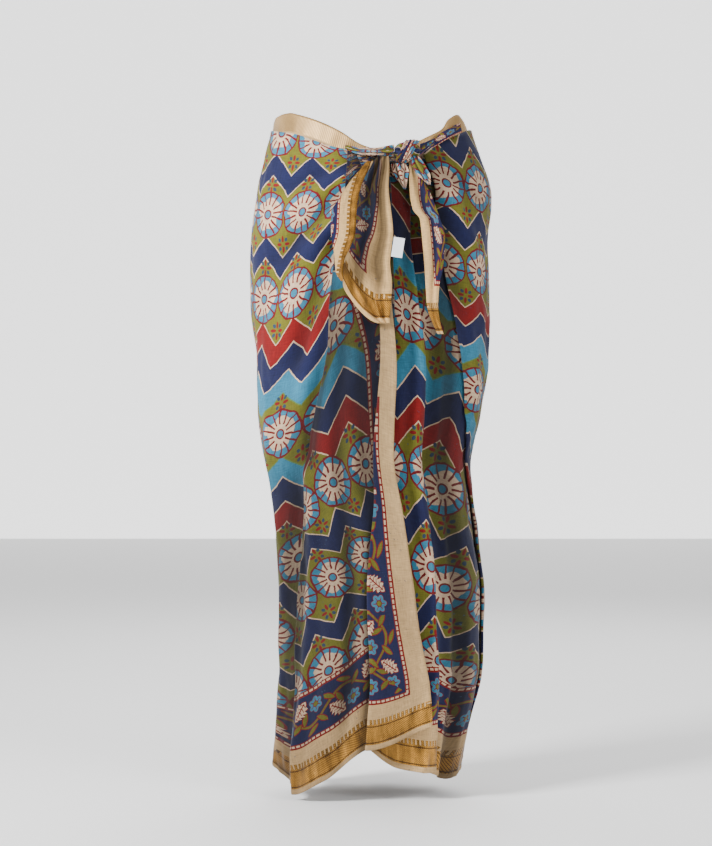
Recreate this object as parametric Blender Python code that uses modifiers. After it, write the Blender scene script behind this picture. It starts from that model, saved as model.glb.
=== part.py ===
"""A knotted wrap sarong, worn with no wearer shown.

One length of thin cotton goes once round the hips, laps over itself at the front and is held by its own
two top corners, which are knotted over the lap and hang as two tails. Metres, +Z up, +X to the
right as the front is seen, and the front faces -Y. The origin is the middle of the waist opening.
"""

import math

import bmesh
import bpy
import numpy as np
from mathutils import Vector

# Driving sizes of the cloth and of the way it is wound.
WALL = 0.0012  # the cloth's wall
PITCH = 0.0036  # from the middle of one layer of the wrap to the next
FOLD_TURN = 0.8  # how far a fold's turned edge stands past its line, in degrees
FOLD_FADE = 0.10  # length over which a soft fold begins and ends
SEAM_GAP = 0.0003  # between two stretches of the cloth
CLOTH_HEIGHT = 1.02  # from the hem up to the folded waist edge, along the cloth
ROWS = 22  # sections from hem to waist
TURNED_DEPTH = 0.060  # how far the turned-in border reaches down inside the waist

# Heights along the cloth, up from the hem, at which each line of the cloth is placed.
LEVELS = (CLOTH_HEIGHT, 0.79, 0.585, 0.38, 0.19, 0.0)  # waist, hip, thigh, knee, calf, hem

# The wrapped form: the outline from the front and from the side at each height.
BODY_COLUMNS = ("z", "left", "right", "front", "back")
BODY = (
    (0.040, -0.142, 0.146, -0.088, 0.092),
    (0.000, -0.146, 0.150, -0.092, 0.098),
    (-0.040, -0.156, 0.163, -0.098, 0.108),
    (-0.100, -0.168, 0.179, -0.104, 0.124),
    (-0.180, -0.177, 0.174, -0.107, 0.135),
    (-0.260, -0.178, 0.176, -0.107, 0.136),
    (-0.340, -0.168, 0.174, -0.105, 0.126),
    (-0.430, -0.166, 0.163, -0.101, 0.113),
    (-0.500, -0.155, 0.150, -0.097, 0.105),
    (-0.570, -0.141, 0.157, -0.095, 0.102),
    (-0.700, -0.129, 0.169, -0.094, 0.104),
    (-0.800, -0.126, 0.168, -0.094, 0.106),
    (-0.880, -0.131, 0.154, -0.094, 0.106),
    (-0.990, -0.136, 0.134, -0.094, 0.106),
)

# Lines of the cloth from the inner end, round the back, to the outer front edge. Each has its bearing
# in degrees (0 front, 90 right, 180 back) and its height at each of the levels, the layer it arrives
# on and the one it leaves on, counted out from the wrapped form, and the number of columns on
# the way to the next line. Where the layers differ the cloth folds back.
LINE_COLUMNS = ("name", "bearing", "height", "layers", "cuts")
LINES = (
    ("inner_end", (-10, -31, -32, -32, -26, -10), (-0.048, -0.076, -0.254, -0.516, -0.712, -0.902), (1, 1), 4),
    ("lap_middle", (6, 8, 9, 10, 11, 16), (-0.048, -0.072, -0.246, -0.512, -0.727, -0.943), (1, 1), 2),
    ("lap_fold", (13, 16, 22, 30, 28, 41), (-0.046, -0.075, -0.250, -0.515, -0.731, -0.951), (1, 0), 2),
    ("lap_fold_back", (10, 8, 11, 15, 16, 31), (-0.046, -0.090, -0.267, -0.520, -0.732, -0.950), (0, -1), 3),
    ("valley", (21, 33, 39, 46, 51, 61), (-0.044, -0.125, -0.304, -0.538, -0.750, -0.966), (-1, -1), 5),
    ("hip_fold_back", (32, 62, 86, 108, 115, 120), (-0.038, -0.175, -0.361, -0.572, -0.759, -0.948), (-1, 0), 3),
    ("hip_fold", (27, 40, 56, 88, 97, 103), (-0.036, -0.208, -0.394, -0.590, -0.769, -0.948), (0, 1), 5),
    ("right_side", (80, 90, 103, 116, 120, 124), (-0.003, -0.225, -0.414, -0.600, -0.773, -0.945), (1, 1), 3),
    ("right_seam", (134, 134, 135, 136, 138, 140), (-0.014, -0.240, -0.437, -0.625, -0.785, -0.940), (0, 0), 4),
    ("back", (185, 185, 185, 185, 185, 185), (-0.032, -0.250, -0.447, -0.635, -0.790, -0.938), (0, 0), 5),
    ("left_seam", (248, 248, 248, 248, 248, 248), (-0.010, -0.244, -0.444, -0.632, -0.787, -0.936), (0, 0), 2),
    ("left_side", (270, 270, 271, 272, 273, 274), (-0.003, -0.240, -0.442, -0.632, -0.787, -0.935), (0, 0), 3),
    ("side_panel", (312, 312, 306, 294, 286, 286), (-0.014, -0.232, -0.433, -0.628, -0.796, -0.950), (2.5, 2.5), 5),
    ("front_fold_back", (354, 368, 364, 342, 317, 320), (-0.044, -0.130, -0.323, -0.575, -0.778, -0.976), (2.5, 3.5), 3),
    ("front_fold", (349, 348, 342, 323, 307, 314), (-0.043, -0.105, -0.293, -0.551, -0.770, -0.983), (3.5, 4.5), 4),
    ("front_panel", (352, 353, 352, 342, 334, 334), (-0.044, -0.090, -0.266, -0.520, -0.738, -0.960), (4.5, 4.5), 3),
    ("edge_fold_back", (361, 365, 366, 366, 356, 359), (-0.045, -0.083, -0.249, -0.494, -0.704, -0.911), (4.5, 5.5), 2),
    ("edge_fold", (353, 355, 360, 361, 352, 356), (-0.045, -0.081, -0.247, -0.493, -0.701, -0.913), (5.5, 6.5), 4),
    ("outer_edge", (357, 360, 367, 374, 376, 387), (-0.046, -0.080, -0.251, -0.500, -0.695, -0.879), (6.5, 6.5), 0),
)

# Soft folds that every layer follows: bearing and height of the upper and lower end, depth in mm at
# each end (out is positive) and width across in degrees.
FOLD_COLUMNS = ("name", "bearing_top", "bearing_low", "z_top", "z_low", "out_top", "out_low", "width")
FOLDS = (
    ("lap_ridge", 14, 34, -0.12, -1.10, 2, 9, 9),
    ("lap_valley", 30, 56, -0.10, -1.10, -3, -9, 9),
    ("hip_swell", 58, 84, -0.06, -0.52, 3, 4, 15),
    ("knee_dip", 88, 92, -0.34, -0.70, -3, -3, 18),
    ("edge_valley", 2, -4, -0.14, -0.62, -5, -3, 7),
    ("front_ridge", -8, -36, -0.14, -1.10, 3, 8, 11),
    ("front_dip", -22, -62, -0.20, -0.80, -4, -4, 8),
    ("side_ridge", -62, -84, -0.28, -1.10, 2, 6, 10),
    ("left_back_valley", -96, -104, -0.34, -1.10, -1, -12, 9),
    ("left_back_ridge", -112, -122, -0.30, -1.10, 2, 13, 9),
    ("back_valley_1", -130, -141, -0.32, -1.10, -1, -14, 9),
    ("back_ridge_1", -150, -160, -0.34, -1.10, 1, 12, 10),
    ("back_valley_2", -170, -177, -0.36, -1.10, -1, -15, 9),
    ("back_ridge_2", 172, 166, -0.30, -1.10, 2, 14, 9),
    ("back_valley_3", 154, 148, -0.34, -1.10, -1, -12, 8),
    ("right_back_ridge", 136, 131, -0.32, -1.10, 2, 12, 8),
    ("right_back_valley", 118, 112, -0.36, -1.10, -1, -9, 9),
)

# The turned-in border at the waist, which stands above the folded edge on each hip: bearing, height
# of its upper edge and how far outside the wrapped form it stands.
TURNED_COLUMNS = ("bearing", "upper_edge", "stand_off")
TURNED_LEFT = (
    (362, -0.041, -0.0056), (354, -0.033, -0.0056), (342, -0.013, -0.0052), (328, 0.003, -0.0040),
    (313, 0.014, -0.0034), (303, 0.0185, -0.0028), (282, 0.015, -0.0024), (268, 0.006, -0.0023),
    (248, -0.006, -0.0026), (196, -0.024, -0.0029),
)
TURNED_RIGHT = (
    (26, -0.029, -0.0062), (34, -0.020, -0.0062), (47, -0.006, -0.0050), (53, 0.008, -0.0040),
    (65, 0.0175, -0.0034), (74, 0.010, -0.0032), (90, -0.004, -0.0032), (130, -0.016, -0.0033),
    (190, -0.024, -0.0030),
)

# The border folded over the right hip on its way to the knot: bearing, lower edge, upper edge.
HIP_BAND = (
    (32, -0.039, -0.031), (39, -0.030, -0.017), (46, -0.0215, -0.009), (52, -0.016, -0.0025),
    (60, -0.010, 0.004),
)
HIP_BAND_STAND_OFF = 0.0053

# The knot: its middle, the half sizes of its core, the strand that passes over it, and the folded
# cloth that hangs out below it.
KNOT_CENTRE = Vector((0.0544, -0.1147, -0.0468))
KNOT_HALF = (0.0195, 0.0125, 0.0135)
KNOT_BAND_WIDTH = 0.020
KNOT_BAND_LEAN = 0.50
ROLL_COLUMNS = ("x", "y", "z", "half_height", "half_depth")
KNOT_LOBE = (
    (0.0432, -0.1130, -0.0646, 0.0100, 0.0060),
    (0.0440, -0.1140, -0.0745, 0.0120, 0.0062),
    (0.0462, -0.1140, -0.0840, 0.0085, 0.0050),
    (0.0495, -0.1130, -0.0945, 0.0040, 0.0030),
    (0.0508, -0.1120, -0.1010, 0.0016, 0.0016),
)
ROLL_LEFT = (
    (-0.0354, -0.1222, -0.0415, 0.0030, 0.0018),
    (-0.0115, -0.1268, -0.0480, 0.0048, 0.0030),
    (0.0055, -0.1262, -0.0485, 0.0050, 0.0038),
    (0.0210, -0.1215, -0.0470, 0.0062, 0.0050),
    (0.0357, -0.1150, -0.0455, 0.0085, 0.0065),
)
ROLL_RIGHT = (
    (0.0960, -0.0856, -0.0262, 0.0026, 0.0016),
    (0.0890, -0.0940, -0.0320, 0.0042, 0.0026),
    (0.0810, -0.1025, -0.0380, 0.0058, 0.0038),
    (0.0732, -0.1105, -0.0435, 0.0078, 0.0052),
)

# The tails: left edge, right edge and depth at each height.
TAIL_COLUMNS = ("z", "left", "right", "y")
TAIL_LEFT = (
    (-0.0545, 0.0110, 0.0275, -0.1215),
    (-0.0697, 0.0021, 0.0284, -0.1299),
    (-0.1003, -0.0123, 0.0272, -0.1337),
    (-0.1292, -0.0181, 0.0301, -0.1353),
    (-0.1652, -0.0202, 0.0337, -0.1363),
    (-0.1868, -0.0274, 0.0315, -0.1368),
    (-0.2083, -0.0367, 0.0294, -0.1371),
    (-0.2399, -0.0381, 0.0322, -0.1367),
    (-0.2672, -0.0231, 0.0308, -0.1364),
    (-0.2902, -0.0010, 0.0286, -0.1361),
    (-0.2962, 0.0110, 0.0286, -0.1360),
)
TAIL_FLAP = (
    (-0.0621, -0.0036, 0.0051, -0.1268),
    (-0.0942, -0.0295, -0.0052, -0.1308),
    (-0.1189, -0.0454, -0.0109, -0.1328),
    (-0.1377, -0.0554, -0.0123, -0.1333),
    (-0.1650, -0.0554, -0.0138, -0.1341),
    (-0.1952, -0.0511, -0.0224, -0.1349),
    (-0.2240, -0.0483, -0.0281, -0.1349),
    (-0.2355, -0.0410, -0.0295, -0.1348),
)
TAIL_RIGHT = (
    (-0.0618, 0.0572, 0.0662, -0.1147),
    (-0.0699, 0.0573, 0.0699, -0.1150),
    (-0.0877, 0.0575, 0.0775, -0.1155),
    (-0.1095, 0.0585, 0.0891, -0.1155),
    (-0.1314, 0.0629, 0.0977, -0.1150),
    (-0.1444, 0.0728, 0.1021, -0.1150),
    (-0.1718, 0.0760, 0.1093, -0.1145),
    (-0.2151, 0.0796, 0.1065, -0.1140),
    (-0.2383, 0.0811, 0.1013, -0.1135),
    (-0.2716, 0.0833, 0.0992, -0.1130),
    (-0.2933, 0.0906, 0.1022, -0.1125),
    (-0.3107, 0.0986, 0.1072, -0.1120),
)

# The upright folds of each tail: share of the width from the left edge, and how far out in mm.
TAIL_FOLDS = {
    "tail_left": ((0, 0), (0.14, 2.2), (0.36, -2.4), (0.56, 2.6), (0.74, -2.2), (0.90, 2.0), (1, 0)),
    "tail_left_flap": ((0, -0.6), (0.30, 0.9), (0.55, 0.5), (1, -1.2)),
    "tail_right": ((0, 0), (0.22, 2.2), (0.50, -2.4), (0.78, 2.0), (1, -0.5)),
}

# The care label sewn to the left tail's outer edge.
LABEL_SIZE = (0.016, 0.0008, 0.0285)
LABEL_CENTRE = (0.0408, -0.1372, -0.1875)
LABEL_TILT = 9

COLOURS = {
    "printed_cotton": (0.12, 0.15, 0.30),
    "gold_border": (0.55, 0.38, 0.16),
    "cream_cotton": (0.78, 0.64, 0.46),
    "label_satin": (0.85, 0.86, 0.88),
}


def clear_scene():
    for obj in list(bpy.data.objects):
        bpy.data.objects.remove(obj)


def material(name):
    found = bpy.data.materials.get(name)
    if found:
        return found
    made = bpy.data.materials.new(name)
    made.use_nodes = True
    shader = made.node_tree.nodes["Principled BSDF"]
    shader.inputs["Base Color"].default_value = (*COLOURS[name], 1)
    shader.inputs["Roughness"].default_value = 0.4 if name == "gold_border" else 0.85
    shader.inputs["Metallic"].default_value = 0.5 if name == "gold_border" else 0.0
    return made


def smooth(xs, ys, x):
    """The value at x of a curve through the points (xs, ys) that never overshoots them."""
    xs = np.asarray(xs, float)
    ys = np.asarray(ys, float)
    if xs[0] > xs[-1]:
        xs = xs[::-1]
        ys = ys[::-1]
    step = np.diff(xs)
    rise = np.diff(ys) / step
    slope = np.zeros(len(xs))
    slope[0] = rise[0]
    slope[-1] = rise[-1]
    same_way = rise[:-1] * rise[1:] > 0
    total = np.where(same_way, rise[:-1] + rise[1:], 1.0)
    slope[1:-1] = np.where(same_way, 2 * rise[:-1] * rise[1:] / total, 0.0)
    x = np.clip(x, xs[0], xs[-1])
    i = np.clip(np.searchsorted(xs, x, side="right") - 1, 0, len(step) - 1)
    t = (x - xs[i]) / step[i]
    ease = t * t * (3 - 2 * t)
    bend = slope[i] * t * (1 - t) ** 2 - slope[i + 1] * (1 - t) * t**2
    return ys[i] * (1 - ease) + ys[i + 1] * ease + step[i] * bend


def column(rows, k):
    return [row[k] for row in rows]


def fold_out(bearing, z):
    """How far the soft folds move the cloth out at a bearing and height."""
    total = 0.0
    for _, top, low, z_top, z_low, out_top, out_low, width in FOLDS:
        if not z_low < z < z_top:
            continue
        along = (z_top - z) / (z_top - z_low)
        middle = top + (low - top) * along
        off = (bearing - middle + 180) % 360 - 180
        depth = out_top + (out_low - out_top) * along
        fade = min(1.0, (z_top - z) / FOLD_FADE) * min(1.0, (z - z_low) / FOLD_FADE)
        total += depth * fade * fade * (3 - 2 * fade) * math.exp(-((off / width) ** 2))
    return total / 1000


def on_body(bearing, z, stand_off):
    """The point at a bearing and height, stand_off outside the wrapped form."""
    left, right, front, back = (smooth(column(BODY, 0), column(BODY, k), z) for k in (1, 2, 3, 4))
    turn = math.radians(bearing)
    out = stand_off + fold_out(bearing, z)
    half_width = (right - left) / 2
    depth = -front if math.cos(turn) > 0 else back
    x = (left + right) / 2 + (half_width + out) * math.sin(turn)
    y = -(depth + out) * math.cos(turn)
    return Vector((x, y, z))


def cloth_columns(first, last):
    """The columns of the wrap between two named lines.

    Each is (line number, share of the way to the next line, share of a fold's turn).
    """
    names = [line[0] for line in LINES]
    start, end = names.index(first), names.index(last)
    columns = []
    for k in range(start, end + 1):
        arriving, leaving = LINES[k][3]
        turns = (0.0, 0.5, 1.0) if arriving != leaving else (1.0,)
        columns += [(k, 0.0, turn) for turn in turns]
        if k < end:
            cuts = LINES[k][4] + 1
            columns += [(k, cut / cuts, 1.0) for cut in range(1, cuts)]
    return columns


def line_at(k, level):
    """Bearing and height of line k at a height along the cloth."""
    return smooth(LEVELS, LINES[k][1], level), smooth(LEVELS, LINES[k][2], level)


def cloth_point(k, share, turn, level, bearings, heights, travel):
    """A point of the wrap: column as in cloth_columns, and its height along the cloth."""
    arriving, leaving = LINES[k][3]
    if share == 0.0:
        layer = arriving + (leaving - arriving) * turn
        way = 1 if bearings[k] > bearings[k - 1] else -1
        bulge = FOLD_TURN * math.sin(math.pi * turn) * way
        return on_body(bearings[k] + bulge, heights[k], layer * PITCH)
    at = travel[k] + (travel[k + 1] - travel[k]) * share
    bearing = bearings[k] + (bearings[k + 1] - bearings[k]) * share
    z = smooth(travel, heights, at)
    ease = share * share * (3 - 2 * share)
    layer = leaving + (LINES[k + 1][3][0] - leaving) * ease
    return on_body(bearing, z, layer * PITCH)


def cloth_grid(first, last):
    """Rows of points of the wrap between two lines, from the hem up."""
    columns = cloth_columns(first, last)
    grid = []
    for row in range(ROWS + 1):
        level = CLOTH_HEIGHT * row / ROWS
        placed = [line_at(k, level) for k in range(len(LINES))]
        bearings = [b for b, _ in placed]
        heights = [z for _, z in placed]
        travel = np.concatenate(([0.0], np.cumsum(np.abs(np.diff(bearings)) + 0.5)))
        grid.append([cloth_point(*place, level, bearings, heights, travel) for place in columns])
    return grid


def stretch(grid, start, end):
    """The columns of the wrap from start to end, ending square and half a gap short where it is cut."""
    rows = []
    for row in grid:
        points = [point.copy() for point in row[start:end + 1]]
        if start > 0:
            way = (row[start + 1] - row[start - 1]).normalized()
            points[:1] = [row[start] + way * SEAM_GAP / 2, row[start] + way * 0.004]
        if end < len(row) - 1:
            way = (row[end + 1] - row[end - 1]).normalized()
            points[-1:] = [row[end] - way * 0.004, row[end] - way * SEAM_GAP / 2]
        rows.append(points)
    return rows


def wall_object(name, grid, slot, collection, thickness=WALL):
    """An open sheet through rows of points, made a closed wall by Solidify."""
    mesh = bmesh.new()
    rows = [[mesh.verts.new(point) for point in row] for row in grid]
    for low, high in zip(rows[:-1], rows[1:]):
        for i in range(len(low) - 1):
            mesh.faces.new((low[i], low[i + 1], high[i + 1], high[i]))
    made = bpy.data.meshes.new(name)
    mesh.to_mesh(made)
    mesh.free()
    obj = bpy.data.objects.new(name, made)
    collection.objects.link(obj)
    made.materials.append(material(slot))
    made.shade_smooth()
    wall = obj.modifiers.new("wall", "SOLIDIFY")
    wall.thickness = thickness
    wall.offset = 0
    return obj


def wrap_stretches(collection):
    """The wound length of cloth, from the under lap round the right side and back to the over lap."""
    grid = cloth_grid("inner_end", "outer_edge")
    cuts = [len(cloth_columns("inner_end", name)) - 1 for name in ("right_seam", "back", "left_seam")]
    edges = [0] + cuts + [len(grid[0]) - 1]
    names = ("wrap_under", "wrap_back_right", "wrap_back_left", "wrap_over")
    for name, start, end in zip(names, edges[:-1], edges[1:]):
        wall_object(name, stretch(grid, start, end), "printed_cotton", collection)


def turned_border(name, edge, collection):
    """The border turned in at the waist, inside the wrap, standing above the fold on the hip."""
    bearings = column(edge, 0)
    steps = 20
    grid = []
    for row in range(5):
        points = []
        for i in range(steps + 1):
            bearing = bearings[0] + (bearings[-1] - bearings[0]) * i / steps
            top = smooth(bearings, column(edge, 1), bearing)
            low = min(top, -0.030) - TURNED_DEPTH
            z = low + (top - low) * row / 4
            points.append(on_body(bearing, z, smooth(bearings, column(edge, 2), bearing)))
        grid.append(points)
    wall_object(name, grid, "gold_border", collection)


def hip_band(collection):
    """The printed border folded over the right hip, outside the turned-in border."""
    bearings = column(HIP_BAND, 0)
    steps = 12
    grid = []
    for row in range(4):
        points = []
        for i in range(steps + 1):
            bearing = bearings[0] + (bearings[-1] - bearings[0]) * i / steps
            low = smooth(bearings, column(HIP_BAND, 1), bearing)
            top = smooth(bearings, column(HIP_BAND, 2), bearing)
            points.append(on_body(bearing, low + (top - low) * row / 3, HIP_BAND_STAND_OFF))
        grid.append(points)
    wall_object("hip_band", grid, "printed_cotton", collection)


def ring_solid(name, rings, slot, collection):
    """A closed solid through rings of points, with a flat cap at each end."""
    mesh = bmesh.new()
    loops = [[mesh.verts.new(point) for point in ring] for ring in rings]
    count = len(loops[0])
    for low, high in zip(loops[:-1], loops[1:]):
        for i in range(count):
            mesh.faces.new((low[i], low[(i + 1) % count], high[(i + 1) % count], high[i]))
    mesh.faces.new(loops[0][::-1])
    mesh.faces.new(loops[-1])
    bmesh.ops.recalc_face_normals(mesh, faces=mesh.faces)
    made = bpy.data.meshes.new(name)
    mesh.to_mesh(made)
    mesh.free()
    obj = bpy.data.objects.new(name, made)
    collection.objects.link(obj)
    made.materials.append(material(slot))
    made.shade_smooth()
    return obj


def roll(name, rows, collection, hanging=False):
    """Gathered cloth rolled up small: a rope with lengthwise gathers that runs level or hangs."""
    steps, around = 9, 15
    share = [i / (len(rows) - 1) for i in range(len(rows))]
    rings = []
    for i in range(steps + 1):
        x, y, z, half_height, half_depth = (smooth(share, column(rows, k), i / steps) for k in range(5))
        ring = []
        for j in range(around):
            turn = math.tau * j / around
            gather = 1 + 0.10 * math.cos(5 * turn)
            depth = half_depth * math.cos(turn) * gather
            reach = half_height * math.sin(turn) * gather
            across = (reach, depth, 0) if hanging else (0, depth, reach)
            ring.append(Vector((x, y, z)) + Vector(across))
        rings.append(ring)
    ring_solid(name, rings, "printed_cotton", collection)


def knot(collection):
    """The knot: a gathered core and the strand that passes over it."""
    around = 18
    rings = []
    for i in range(1, 9):
        polar = math.pi * i / 9
        ring = []
        for j in range(around):
            turn = math.tau * j / around
            gather = 1 + 0.07 * math.cos(6 * turn)
            offset = (
                -KNOT_HALF[0] * math.cos(polar),
                KNOT_HALF[1] * math.sin(polar) * math.cos(turn) * gather,
                KNOT_HALF[2] * math.sin(polar) * math.sin(turn) * gather,
            )
            ring.append(KNOT_CENTRE + Vector(offset))
        rings.append(ring)
    ring_solid("knot_core", rings, "printed_cotton", collection)

    grid = []
    for row in range(5):
        place = row / 4 - 0.5
        reach = 0.0010 + 0.0012 * math.cos(math.pi * place)
        points = []
        for i in range(19):
            turn = math.radians(-150 + 300 * i / 18)
            out = -(KNOT_HALF[1] + reach) * math.cos(turn) * 1.04
            up = (KNOT_HALF[2] + reach) * math.sin(turn) * 1.06
            points.append(KNOT_CENTRE + Vector((place * KNOT_BAND_WIDTH + KNOT_BAND_LEAN * up, out, up)))
        grid.append(points)
    wall_object("knot_band", grid, "printed_cotton", collection)
    roll("knot_lobe", KNOT_LOBE, collection, hanging=True)


def tail(name, rows, collection):
    """A free corner of the cloth, hanging in soft upright folds."""
    heights = column(rows, 0)
    folds = TAIL_FOLDS[name]
    down, across = 16, 16
    grid = []
    for i in range(down + 1):
        z = heights[-1] + (heights[0] - heights[-1]) * i / down
        left, right, y = (smooth(heights, column(rows, k), z) for k in (1, 2, 3))
        depth = min(1.0, (right - left) / 0.030) / 1000
        points = []
        for j in range(across + 1):
            share = j / across
            out = smooth(column(folds, 0), column(folds, 1), share) * depth
            points.append(Vector((left + (right - left) * share, y - out, z)))
        grid.append(points)
    wall_object(name, grid, "cream_cotton", collection)


def label(collection):
    """The blank woven label at the left tail's edge."""
    bpy.ops.mesh.primitive_cube_add(size=1, location=LABEL_CENTRE, rotation=(0, math.radians(LABEL_TILT), 0))
    obj = bpy.context.object
    obj.name = "label"
    obj.scale = LABEL_SIZE
    bpy.ops.object.transform_apply(location=False, rotation=False, scale=True)
    obj.data.materials.append(material("label_satin"))
    for owner in list(obj.users_collection):
        owner.objects.unlink(obj)
    collection.objects.link(obj)


def build():
    clear_scene()
    collection = bpy.data.collections.new("sarong")
    bpy.context.scene.collection.children.link(collection)
    wrap_stretches(collection)
    turned_border("turned_border_left", TURNED_LEFT, collection)
    turned_border("turned_border_right", TURNED_RIGHT, collection)
    hip_band(collection)
    roll("roll_left", ROLL_LEFT, collection)
    roll("roll_right", ROLL_RIGHT, collection)
    knot(collection)
    tail("tail_left", TAIL_LEFT, collection)
    tail("tail_left_flap", TAIL_FLAP, collection)
    tail("tail_right", TAIL_RIGHT, collection)
    label(collection)


build()
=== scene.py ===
"""Looks of the knotted wrap sarong: thin printed cloth with its knot, tails and label."""
import math

import bmesh
import bpy
import numpy as np
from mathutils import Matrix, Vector


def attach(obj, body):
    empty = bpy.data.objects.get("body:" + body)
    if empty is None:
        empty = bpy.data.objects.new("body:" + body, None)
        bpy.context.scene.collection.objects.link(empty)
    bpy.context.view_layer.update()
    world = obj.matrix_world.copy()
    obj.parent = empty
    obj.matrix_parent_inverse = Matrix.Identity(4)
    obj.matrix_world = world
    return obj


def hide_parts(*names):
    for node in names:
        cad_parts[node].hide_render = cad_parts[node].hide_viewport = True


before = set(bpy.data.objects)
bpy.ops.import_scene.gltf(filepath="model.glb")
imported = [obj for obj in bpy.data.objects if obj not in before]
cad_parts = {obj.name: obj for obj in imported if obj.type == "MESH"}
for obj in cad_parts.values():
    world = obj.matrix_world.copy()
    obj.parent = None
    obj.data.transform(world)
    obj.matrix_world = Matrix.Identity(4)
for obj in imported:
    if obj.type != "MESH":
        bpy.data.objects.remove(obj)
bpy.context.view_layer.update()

# The cloth. Lengths in metres.
SHELL = 0.00045  # thickness drawn for the cloth
ROLLED = 0.0016  # thickness of the rolled hems
PITCH = 0.0036  # from the middle of one layer of the wrap to the next
FOLD_TURN = 0.8  # how far a fold's turned edge stands past its line, in degrees
FOLD_FADE = 0.10  # length over which a soft fold begins and ends
SEAM_GAP = 0.0003  # between two stretches of the cloth
CLOTH_HEIGHT = 1.02  # from the hem up to the folded waist edge, along the cloth
CLOTH_WIDTH = 1.118  # across the flat cloth, from hem to hem
CLOTH_LENGTH = 1.999  # along the flat cloth, from cut end to cut end
TURNED_DEPTH = 0.060  # how far the turned-in border reaches down inside the waist
LEVELS = (CLOTH_HEIGHT, 0.79, 0.585, 0.38, 0.19, 0.0)  # waist, hip, thigh, knee, calf, hem

# The wrapped form: height, then the outline's left, right, front and back.
BODY = (
    (0.040, -0.142, 0.146, -0.088, 0.092),
    (0.000, -0.146, 0.150, -0.092, 0.098),
    (-0.040, -0.156, 0.163, -0.098, 0.108),
    (-0.100, -0.168, 0.179, -0.104, 0.124),
    (-0.180, -0.177, 0.174, -0.107, 0.135),
    (-0.260, -0.178, 0.176, -0.107, 0.136),
    (-0.340, -0.168, 0.174, -0.105, 0.126),
    (-0.430, -0.166, 0.163, -0.101, 0.113),
    (-0.500, -0.155, 0.150, -0.097, 0.105),
    (-0.570, -0.141, 0.157, -0.095, 0.102),
    (-0.700, -0.129, 0.169, -0.094, 0.104),
    (-0.800, -0.126, 0.168, -0.094, 0.106),
    (-0.880, -0.131, 0.154, -0.094, 0.106),
    (-0.990, -0.136, 0.134, -0.094, 0.106),
)

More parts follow.
